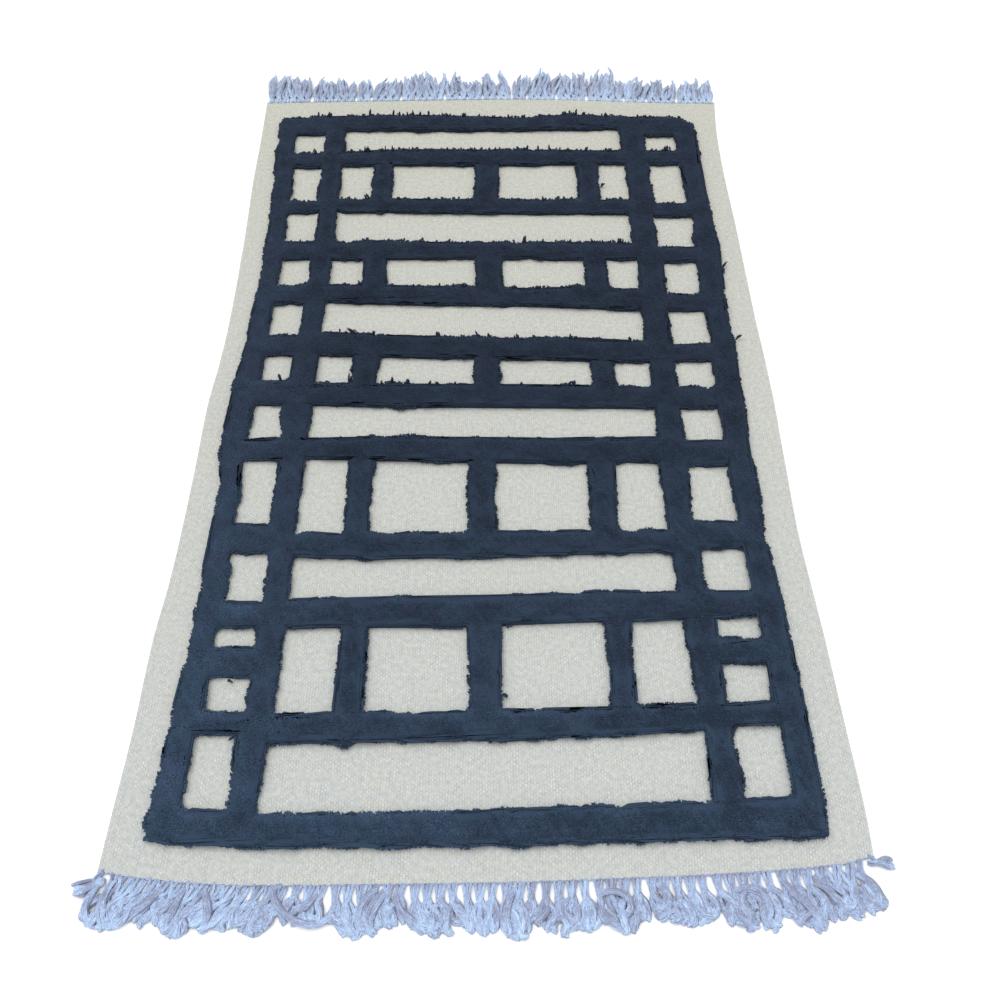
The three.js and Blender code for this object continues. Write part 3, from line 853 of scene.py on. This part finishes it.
def bundles_of(node):
    """Each tooth of a comb: the middle (x, y) and the width of its four sections, root first."""
    loop = outlines(node)[0]
    on_tooth = distance_to_cloth(loop) > EDGE_WIDTH
    start = np.flatnonzero(~on_tooth)[0]
    teeth_points = np.roll(loop, -start, axis=0)[np.roll(on_tooth, -start)]
    sides = teeth_points.reshape(-1, 8, 2)
    one, other = sides[:, :4], sides[:, :3:-1]
    return (one + other) / 2, np.linalg.norm(one - other, axis=2)


near_bundles, far_bundles = bundles_of("fringe_near"), bundles_of("fringe_far")
print("bundles:", len(near_bundles[0]), "near,", len(far_bundles[0]), "far")

# %% [markdown]
# Past its neck a bundle doesn't lie alone. Its yarns mix with those of its neighbours in one clump, and the
# clump has one rounded outline. Bundles with tips close together are in the same clump. A clump works like
# a map of its own: one number says how far across it a yarn is, counted in bundles, and another how far
# along it is, from 0 at the root to 1 at the tip. The map then turns both into a place on the floor.

# %% Map the clumps
CLUMP_GAP = 13.5 * MM
SECTION_PLACES = np.array([0.0, 0.36, 0.74, 1.0])
CLUMP_MARGIN = 0.8  # a share of a bundle's width, left free at both ends of a clump


def clumps_of(middles, widths):
    """The bundles of a fringe, in groups of neighbours whose tips are close together."""
    apart = np.linalg.norm(np.diff(middles[:, 3], axis=0), axis=1)
    gaps = apart - (widths[1:, 3] + widths[:-1, 3]) / 2
    return np.split(np.arange(len(middles)), np.flatnonzero(gaps > CLUMP_GAP) + 1)


def left_of(ways):
    """The directions to the left of other directions, each of length 1."""
    return np.column_stack([-ways[:, 1], ways[:, 0]]) / np.linalg.norm(ways, axis=1)[:, None]


def lines_across(middles, widths):
    """Four lines across a clump, one for each section, with half a bundle more at both ends."""
    lines = []
    for section in range(4):
        middle, width = middles[:, section], widths[:, section]
        sideways = left_of(middles[[0, -1], 3] - middles[[0, -1], 0])
        if len(middle) > 1 and sideways[0] @ (middle[-1] - middle[0]) > 0:
            sideways = -sideways
        first = middle[0] + CLUMP_MARGIN * width[0] * sideways[0]
        last = middle[-1] - CLUMP_MARGIN * width[-1] * sideways[1]
        lines.append(np.vstack([first, middle, last]))
    return lines


def curve_shares(along, places):
    """How much of each of four points there is at each place along the smooth curve through them."""
    return np.vander(along, 4) @ np.linalg.inv(np.vander(places, 4))


def place_on_clump(lines, number, along):
    """The places on the floor for numbers across a clump and shares of its length."""
    at_lines = np.array([-0.5, *range(len(lines[0]) - 2), len(lines[0]) - 2.5])
    weights = curve_shares(along.ravel(), SECTION_PLACES)
    place = np.zeros((*along.shape, 2))
    for section, line in enumerate(lines):
        across = np.stack([np.interp(number, at_lines, line[:, axis]) for axis in (0, 1)], axis=-1)
        place += weights[:, section].reshape(*along.shape, 1) * across
    return place


print("clumps:", len(clumps_of(*near_bundles)), "near,", len(clumps_of(*far_bundles)), "far")

# %% [markdown]
# ## Locks of yarn
#
# A bundle isn't a loose bunch of single yarns. Its yarns have felted into locks: each has a flat matted
# core, and a few yarns that still lie free cross over the top of it. In the neck of the bundle its locks are
# twisted into a cord. Past the neck they part, and each lock swings about and curls, until it meets the
# rounded rim of the clump and follows that. So the middle line of each lock is worked out first.

# %% Lay the yarns of a lock over its core
YARN_STEPS = 14
# A core is painted darker than the yarns over it: painted shade under them.
CORE_FLATNESS, CORE_DARKER = 0.4, 0.1
steps = np.linspace(0, 1, YARN_STEPS)


def lock_yarns(line, rise, wide, count, winds):
    """The paths of the yarns that cross over the top of a lock, from its middle line and half width."""
    side = left_of(np.gradient(line, axis=0))
    paths = []
    for k in range(count):
        turn = math.pi * (k / count + winds * steps + 0.1 * luck.normal())
        own_line = line + (0.85 * np.cos(turn) * wide)[:, None] * side
        path = np.column_stack([own_line, rise + CORE_FLATNESS * np.abs(np.sin(turn)) * wide])
        share = steps * luck.uniform(0.93, 1)
        paths.append(np.column_stack([np.interp(share, steps, path[:, axis]) for axis in range(3)]))
    return paths


print("steps along a yarn:", YARN_STEPS)

# %% [markdown]
# The two ends of the rug differ. The near fringe lies flat in curled heads. The far fringe is straighter:
# it frays sooner, each bundle draws to a point, and its tips stand up a little.

# %% Describe how each fringe lies
NEAR_LIE = {
    "locks": 5, "lock_yarns": 4, "radius": 0.8, "neck": 0.2, "twist": 0.35, "winds": 1.3,
    "core": ([0.0, 0.2, 0.42, 0.75, 0.92, 1.0], [2.0, 2.3, 4.6, 5.6, 5.0, 3.4]),
    "cord": ([-360, -300, 440, 500], [0.42, 0.2, 0.2, 0.36]), "flare": 0.9,
    "across": ([-545, -530, -200, 100, 530, 545], [-0.3, 0.0, 0.0, -0.07, -0.07, -0.2]),
    "spread": ([0.0, 0.3, 0.7, 1.0], [0.2, 0.44, 0.5, 0.5]),
    "reach": (1.05, 1.3), "bundle_reach": 0.05, "middle_longer": 0.0,
    "curl": 0.45, "own_curl": 0.6, "swing": 0.5, "swings": (0.9, 2.0),
    "rim_at": 1.12, "rim": 0.14, "rim_gap": 0.03, "heap": 4.5, "tip_lift": 0.0,
    "shade": ([0.0, 0.1, 0.3, 0.42, 0.7, 0.95], [0.3, 0.44, 0.5, 0.42, 0.44, 0.64]),
}
FAR_LIE = {
    "locks": 5, "lock_yarns": 3, "radius": 0.8, "neck": 0.04, "twist": 0.2, "winds": 0.9,
    "core": ([0.0, 0.2, 0.6, 0.85, 1.0], [3.0, 4.2, 4.8, 3.6, 1.6]),
    "cord": ([0], [0.2]), "flare": 0.6, "across": ([0], [0.0]),
    "spread": ([0.0, 0.25, 0.6, 1.0], [0.3, 0.45, 0.42, 0.2]),
    "reach": (0.85, 1.25), "bundle_reach": 0.12, "middle_longer": 0.2,
    "curl": 0.25, "own_curl": 0.25, "swing": 0.25, "swings": (1.0, 2.2),
    "rim_at": 1.2, "rim": 0.0, "rim_gap": 0.0, "heap": 6.0, "tip_lift": 8.0,
    "shade": ([0.0, 0.15, 0.4, 0.75, 1.0], [0.8, 0.55, 0.32, 0.42, 0.68]),
}
ROOT_INSIDE = 3.0 * MM
print("locks in a bundle:", NEAR_LIE["locks"], "near,", FAR_LIE["locks"], "far")

# %% Work out the yarns' paths
BUNDLE_STEP = 18.5 * MM
LOOSE_FROM, ROOT_TO, FLARE_TO = 0.3, 0.12, 0.16  # shares of the length
CORD_HEIGHT, CORD_DEPTH, LOWEST = 2.9, 1.4, 1.8  # millimetres
LONE_GIRTH = 0.65  # a bundle that lies alone has thinner locks
BUNDLE_LUCK, LOCK_LUCK = 0.05, 0.09  # how much the shade differs by chance


def soft_limit(values, limit):
    """Values that stay as they are when small, and level off smoothly at a limit."""
    return values / (1 + np.abs(values / limit) ** 8) ** 0.125


def bundle_locks(lines, own, lie):
    """The middle line of each lock of a bundle, with its height, and how far along the clump it is."""
    root, tip = lines[0][own + 1], lines[3][own + 1]
    away, length = (tip - root) / np.linalg.norm(tip - root), np.linalg.norm(tip - root)
    centre, half = (len(lines[0]) - 3) / 2, (len(lines[0]) - 2) / 2
    head = np.clip((steps - lie["neck"]) / (1 - lie["neck"]), 0, 1)
    loose, at_root = ease(head, 0, LOOSE_FROM), 1 - ease(steps, 0, ROOT_TO)
    bundle_bend, bundle_reach = lie["curl"] * luck.normal(), 1 + lie["bundle_reach"] * luck.normal()
    found = []
    for lock, lane in enumerate(np.linspace(-1, 1, lie["locks"])):
        bend = bundle_bend + lie["own_curl"] * luck.normal()
        swing = lie["swing"] * np.sin(2 * math.pi * (luck.uniform(*lie["swings"]) * steps + luck.random()))
        heading = bend * head**1.5 + swing * loose
        step = luck.uniform(*lie["reach"]) * bundle_reach * (1 - lie["middle_longer"] * lane**2) / YARN_STEPS
        along = np.cumsum(np.cos(heading)) * step - step
        aside = np.cumsum(np.sin(heading)) * step * length
        turn = 2 * math.pi * (lock / lie["locks"] + lie["twist"] * steps)
        flare = 1 + lie["flare"] * (1 - ease(steps, 0, FLARE_TO))
        cord = np.interp(root[0] / MM, *lie["cord"]) * flare * np.cos(turn)
        spread = lane * np.interp(head, *lie["spread"])
        number = own + (1 - loose) * cord + loose * spread + aside / BUNDLE_STEP
        number = centre + soft_limit(number - centre, half)
        rim = lie["rim_at"] - lie["rim"] * np.abs((number - centre) / half) ** 3 - lie["rim_gap"] * luck.random()
        along = soft_limit(along, rim)
        line = place_on_clump(lines, number, along) - (ROOT_INSIDE * at_root)[:, None] * away

        level = luck.random()
        dome = np.sin(math.pi * (0.12 + 0.8 * head)) ** 0.7
        in_cord = (CORD_HEIGHT + CORD_DEPTH * np.sin(turn)) * MM
        in_head = (LOWEST + lie["heap"] * level * dome + lie["tip_lift"] * level * head**2) * MM
        found.append((line, (1 - loose) * in_cord + loose * in_head, along))
    return found


def add_lock(fringe, line, rise, shade, lie, girth=1.0):
    """Adds the core and the yarns of one lock to the lists of a fringe."""
    wide = np.interp(steps, *lie["core"]) * luck.uniform(0.85, 1.15) * girth * MM
    fringe["cores"].append(np.column_stack([line, rise]))
    fringe["widths"].append(wide)
    fringe["core_shades"].append(shade - CORE_DARKER)
    for path in lock_yarns(line, rise, wide, lie["lock_yarns"], lie["winds"]):
        fringe["yarns"].append(path)
        fringe["yarn_shades"].append(shade)


def new_fringe(bundles, lie):
    """The cores and yarns of a fringe, and the shade of each from its place along its length."""
    fringe = {key: [] for key in ("cores", "widths", "core_shades", "yarns", "yarn_shades")}
    middles, widths = bundles
    for clump in clumps_of(middles, widths):
        lines = lines_across(middles[clump], widths[clump])
        girth = LONE_GIRTH if len(clump) == 1 else 1.0
        for own in range(len(clump)):
            bundle_shade = np.interp(lines[0][own + 1, 0] / MM, *lie["across"])
            bundle_shade += luck.normal(0, BUNDLE_LUCK)
            for line, rise, along in bundle_locks(lines, own, lie):
                # The shade along a lock is partly the yarn's own tone and partly painted shade where the locks curl
                # over each other.
                shade = np.interp(along, *lie["shade"]) + bundle_shade + luck.normal(0, LOCK_LUCK)
                add_lock(fringe, line, rise, shade, lie, girth)
    return fringe


near_fringe, far_fringe = new_fringe(near_bundles, NEAR_LIE), new_fringe(far_bundles, FAR_LIE)
print("locks:", len(near_fringe["cores"]), "near,", len(far_fringe["cores"]), "far")

# %% [markdown]
# Some bundles of the near fringe have slipped over their neighbours, and lie across them in loops and
# curls. These are listed one by one: each hank has a few points to pass through, in millimetres on the floor,
# and a width. A hank is three locks side by side.

# %% Lay the slipped hanks
HANKS = [  # the width, how much paler it is, and the points
    (8, 0, (-287, -938), (-290, -962), (-246, -990), (-206, -962)),
    (7, 0, (-236, -944), (-243, -960), (-258, -970), (-272, -964)),
    (8, 0, (-424, -940), (-430, -958), (-436, -978), (-442, -996)),
    (10, 0, (-398, -943), (-388, -958), (-385, -978), (-392, -996)),
    (10, 0, (-458, -938), (-468, -956), (-484, -970), (-500, -980)),
    (12, 0, (-152, -944), (-166, -960), (-172, -982), (-168, -1000)),
    (12, 0, (-140, -946), (-150, -962), (-158, -984), (-152, -1003)),
    (8, 0, (-118, -944), (-122, -962), (-104, -984), (-84, -1000)),
    (9, 0, (42, -946), (34, -962), (30, -982), (34, -1000)),
    (9, 0, (160, -956), (190, -952), (204, -970), (186, -986)),
    (9, 0, (166, -962), (166, -978), (180, -992), (200, -998)),
    (8, 0, (242, -942), (256, -954), (258, -972), (244, -986)),
    (9, 0, (350, -954), (380, -950), (396, -968), (386, -990)),
    (8, 0, (352, -964), (352, -980), (362, -992), (378, -994)),
    (9, 0, (420, -936), (434, -956), (452, -976), (472, -995)),
    (10, 0, (466, -932), (478, -950), (494, -966), (508, -980)),
    (9, 0, (524, -930), (540, -942), (550, -956), (546, -972)),
    (12, 0, (-540, -930), (-556, -937), (-568, -941), (-580, -942)),
    (9, 0.25, (-544, -926), (-554, -950), (-556, -972), (-544, -988)),
    (10, 0.1, (-528, -930), (-534, -952), (-534, -974), (-526, -990)),
]
HANK_LIE = {"lock_yarns": 3, "winds": 1.0, "core": ([0.0, 0.2, 0.8, 1.0], [2.0, 2.8, 3.4, 2.4])}
HANK_LOCKS, HANK_HEIGHT, HANK_SWING = 3, 6.0, 1.2
HANK_SHADE = ([0.0, 0.25, 0.6, 1.0], [0.35, 0.12, 0.25, 0.6])


def lay_hank(fringe, width, paler, *points):
    """Adds the three locks of a hank, which lie over the fringe."""
    line = curve_shares(steps, np.linspace(0, 1, 4)) @ (np.array(points) * MM)
    side = left_of(np.gradient(line, axis=0))
    for lane in np.linspace(-1, 1, HANK_LOCKS):
        swing = np.sin(2 * math.pi * (luck.uniform(0.8, 1.6) * steps + luck.random()))
        sideways = 0.3 * lane * width * (0.7 + 0.3 * steps) + HANK_SWING * swing * ease(steps, 0.1, 0.5)
        rise = (HANK_HEIGHT * np.sin(math.pi * (0.1 + 0.84 * steps)) + 2 + luck.uniform(-1, 1)) * MM
        shade = np.interp(steps, *HANK_SHADE) + paler + luck.normal(0, 0.06)
        add_lock(fringe, line + sideways[:, None] * MM * side, rise, shade, HANK_LIE)


for hank in HANKS:
    lay_hank(near_fringe, *hank)
print("hanks:", len(HANKS))

# %% [markdown]
# A yarn is a thin closed tube along its path. Curve objects could draw these tubes, but their mesh is
# heavier than it need be. Sweeping a four-sided ring along each path, with a point at each end and smooth
# shading, is enough for something two millimetres thick. The core of a lock is swept the same way, but
# flatter, and wider in its head than in its neck.

# %% Sweep the yarns
SIDES, ABOVE_FLOOR = 4, 0.05 * MM
# Painted shade: a core is painted darker along its two sides, where the locks meet.
CORE_SIDES = (-0.14, 0.06, -0.14, -0.14)  # a core is darker along its two sides than on top


def tube_faces(steps):
    """The triangles of one tube: its wall, ring by ring, and a cone on each end."""
    faces = []
    for ring in range(steps - 1):
        for k in range(SIDES):
            a, b = ring * SIDES + k, ring * SIDES + (k + 1) % SIDES
            faces += [[a, b, b + SIDES], [a, b + SIDES, a + SIDES]]
    first, last = steps * SIDES, steps * SIDES + 1
    for k in range(SIDES):
        faces += [[first, (k + 1) % SIDES, k]]
        faces += [[last, (steps - 1) * SIDES + k, (steps - 1) * SIDES + (k + 1) % SIDES]]
    return np.array(faces)


def tube_corners(paths, radius, flatness=1.0):
    """Rings of corners round each path, then the two end points. The radius may change along the paths."""
    radius = np.broadcast_to(radius, paths.shape[:2])[..., None]
    way = np.gradient(paths, axis=1)
    way /= np.linalg.norm(way, axis=2, keepdims=True)
    side = np.cross(way, [0.0, 0.0, 1.0])
    side /= np.linalg.norm(side, axis=2, keepdims=True)
    up = np.cross(side, way)
    angles = 2 * math.pi * np.arange(SIDES) / SIDES
    rings = paths[:, :, None] + radius[..., None] * (
        np.cos(angles)[:, None] * side[:, :, None] + flatness * np.sin(angles)[:, None] * up[:, :, None]
    )
    ends = np.stack([paths[:, 0] - radius[:, 0] * way[:, 0], paths[:, -1] + radius[:, -1] * way[:, -1]], axis=1)
    corners = np.concatenate([rings.reshape(len(paths), -1, 3), ends], axis=1)
    corners[..., 2] = np.maximum(corners[..., 2], ABOVE_FLOOR)
    return corners


def corner_shades(shades, by_side=(0, 0, 0, 0)):
    """A shade for each corner of each tube, from one for each step and one for each side."""
    shades = shades + luck.normal(0, 0.05, (len(shades), 1))
    rings = (shades[..., None] + np.array(by_side)).reshape(len(shades), -1)
    return np.concatenate([rings, shades[:, :1], shades[:, -1:]], axis=1)


def tube_map(tubes, steps):
    """Where each corner of each tube is along and round it, with a start of its own for each tube."""
    along = np.append(np.repeat(np.linspace(0, 1, steps), SIDES), [0, 1])
    around = np.append(np.tile(np.arange(SIDES), steps), [1, 1])
    return {"along": luck.uniform(0, 100, (tubes, 1)) + along, "around": around}


def make_fringe(name, fringe, radius):
    """The cores and the yarns of a fringe as one piece."""
    cores, yarns = np.array(fringe["cores"]), np.array(fringe["yarns"])
    corners = np.concatenate(
        [tube_corners(cores, np.array(fringe["widths"]), CORE_FLATNESS), tube_corners(yarns, radius)]
    )
    shades = np.concatenate(
        [corner_shades(np.array(fringe["core_shades"]), CORE_SIDES), corner_shades(np.array(fringe["yarn_shades"]))]
    )
    places = tube_map(len(corners), YARN_STEPS)
    return joined_piece(name, corners, tube_faces(YARN_STEPS), shade=shades.clip(0, 1), **places)


fringe_near = make_fringe("warp_fringe_near", near_fringe, NEAR_LIE["radius"] * MM)
fringe_far = make_fringe("warp_fringe_far", far_fringe, FAR_LIE["radius"] * MM)

# %% [markdown]
# ## The heading
#
# Where the weaving stops, two yarns are twined along the edge, round every bundle of warp, and lock the
# last row of weft in place. They are two long thin tubes that wind round each other along the edge.

# %% Twine the heading along both ends
HEADING_TURN, HEADING_WIND, HEADING_RADIUS, HEADING_STEP = 9.0 * MM, 1.0 * MM, 1.0 * MM, 2.2 * MM
HEADING_OUT, HEADING_HEIGHT, HEADING_SHAKE = 0.6 * MM, HEADING_RADIUS + 1.2 * MM, 0.5 * MM


def heading_paths(edge, outward):
    """Two twined yarns along an edge of the cloth."""
    length = np.linalg.norm(np.diff(edge, axis=0), axis=1).sum()
    line = even_steps(edge, round(length / HEADING_STEP))
    turn = 2 * math.pi * np.linspace(0, length / HEADING_TURN, len(line))
    paths = []
    for start in (0, math.pi):
        shake = luck.normal(0, HEADING_SHAKE, len(line))
        y = line[:, 1] + outward * (HEADING_OUT + HEADING_WIND * np.cos(turn + start)) + shake
        z = HEADING_HEIGHT + HEADING_WIND * np.sin(turn + start)
        paths.append(np.column_stack([line[:, 0], y, z]))
    return np.array(paths)


headings = []
for name, edge, outward in (("near", near_line, -1), ("far", far_line, 1)):
    paths = heading_paths(edge, outward)
    shades = 0.4 + luck.normal(0, 0.15, paths.shape[:2])
    faces, corners = tube_faces(paths.shape[1]), tube_corners(paths, HEADING_RADIUS)
    places = tube_map(len(corners), paths.shape[1])
    headings.append(
        joined_piece(f"warp_heading_{name}", corners, faces, shade=corner_shades(shades).clip(0, 1), **places)
    )

# %% [markdown]
# The warp is pale yarn that reads as a cold blue-grey, with mauve painted shade where its yarns shade each
# other. Its tones differ from lock to lock, which keeps the clumps from looking like one solid thing. The far
# end is a little greyer.

# %% Finish the warp yarn
def make_warp_yarn():
    """Hard-twisted warp yarn: pale blue-grey with a soft sheen, mauve where it is shaded."""
    material = new_material("twisted_warp_yarn")
    tree = material.node_tree
    place = add_node(tree, "TexCoord").outputs["Object"]
    shade, along, around = (
        add_node(tree, "Attribute", attribute_name=name).outputs["Fac"] for name in ("shade", "along", "around")
    )
    # Blotches, 10 mm across.
    blotches = add_node(tree, "TexNoise", {"Vector": place, "Scale": 90.0, "Detail": 2.0})
    blotched = add_node(tree, "MapRange", {0: blotches, 3: -0.35, 4: 0.35})
    # Tufts of loose fibre, 2 or 3 mm across, catch the light or their own shade.
    felt = add_node(tree, "TexNoise", {"Vector": place, "Scale": 380.0, "Detail": 3.0})
    felted = add_node(tree, "MapRange", {0: felt, 1: 0.25, 2: 0.75, 3: -0.25, 4: 0.25})
    # Strands of fibre run along a lock: each is 12 mm long, and six lie side by side on its upper half.
    on_tube = add_node(tree, "CombineXYZ", {"X": along, "Y": around})
    stretched = add_node(tree, "Mapping", {"Vector": on_tube, "Rotation": (0, 0, 0.4), "Scale": (5.0, 3.0, 1.0)})
    strands = add_node(tree, "TexNoise", {"Vector": stretched, "Scale": 1.0}, noise_dimensions="2D")
    streaks = add_node(tree, "MapRange", {0: strands, 1: 0.3, 2: 0.7, 3: -0.35, 4: 0.35})
    for layer in (blotched, felted, streaks):
        shade = add_node(tree, "Math", {0: shade, 1: layer}, operation="ADD")
    yarns = add_node(tree, "ValToRGB", {"Fac": shade})
    yarns.color_ramp.elements[0].color = linear(0x8E92AA)
    yarns.color_ramp.elements[1].color = linear(0xC9E3FB)
    yarns.color_ramp.elements.new(0.3).color = linear(0xA5B3D0)
    yarns.color_ramp.elements.new(0.6).color = linear(0xB5CAE9)
    # Sun on the far end.
    # The far end is a little greyer.
    length = add_node(tree, "SeparateXYZ", {"Vector": place}).outputs["Y"]
    far = add_node(tree, "MapRange", {0: length, 1: -0.8, 2: 0.8})
    end_tint = add_node(tree, "Mix", {"Factor": far, "A": linear(0xFFFFFF), "B": linear(0xF8F5F2)}, data_type="RGBA")
    both = {"Factor": 1.0, "A": yarns, "B": end_tint}
    faded = add_node(tree, "Mix", both, data_type="RGBA", blend_type="MULTIPLY")
    # Single fibres, about 1 mm apart.
    fibres = add_node(tree, "TexNoise", {"Vector": place, "Scale": 900.0, "Detail": 2.0})
    fuzz = add_node(tree, "Bump", {"Height": fibres, "Strength": 0.7, "Distance": 0.5 * MM})
    surface = {"Base Color": faded, "Roughness": 0.85, "Specular IOR Level": 0.3, "Normal": fuzz}
    surface["Sheen Weight"] = 0.25
    add_node(tree, "OutputMaterial", {"Surface": add_node(tree, "BsdfPrincipled", surface)})
    return material


warp_yarn = make_warp_yarn()
for piece in (fringe_near, fringe_far, *headings):
    piece.data.materials.append(warp_yarn)
print("fringe finished")

# %% [markdown]
# ## Fit the pieces to the solid model
#
# Each new piece stands for a solid: it is attached to the rug's body, and the solid is hidden.

# %% Join the pieces to the frame
pieces = [(cloth, "ground_weave", "cream_wool")]
pieces += [(piece, "pile_lattice", "navy_pile") for piece in pile_pieces]
pieces += [(piece, "fringe_near", "warp_fringe") for piece in (fringe_near, headings[0])]
pieces += [(piece, "fringe_far", "warp_fringe") for piece in (fringe_far, headings[1])]
for piece, node, slot in pieces:
    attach(piece, "root")
    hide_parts(node)
print("pieces:", len(pieces))
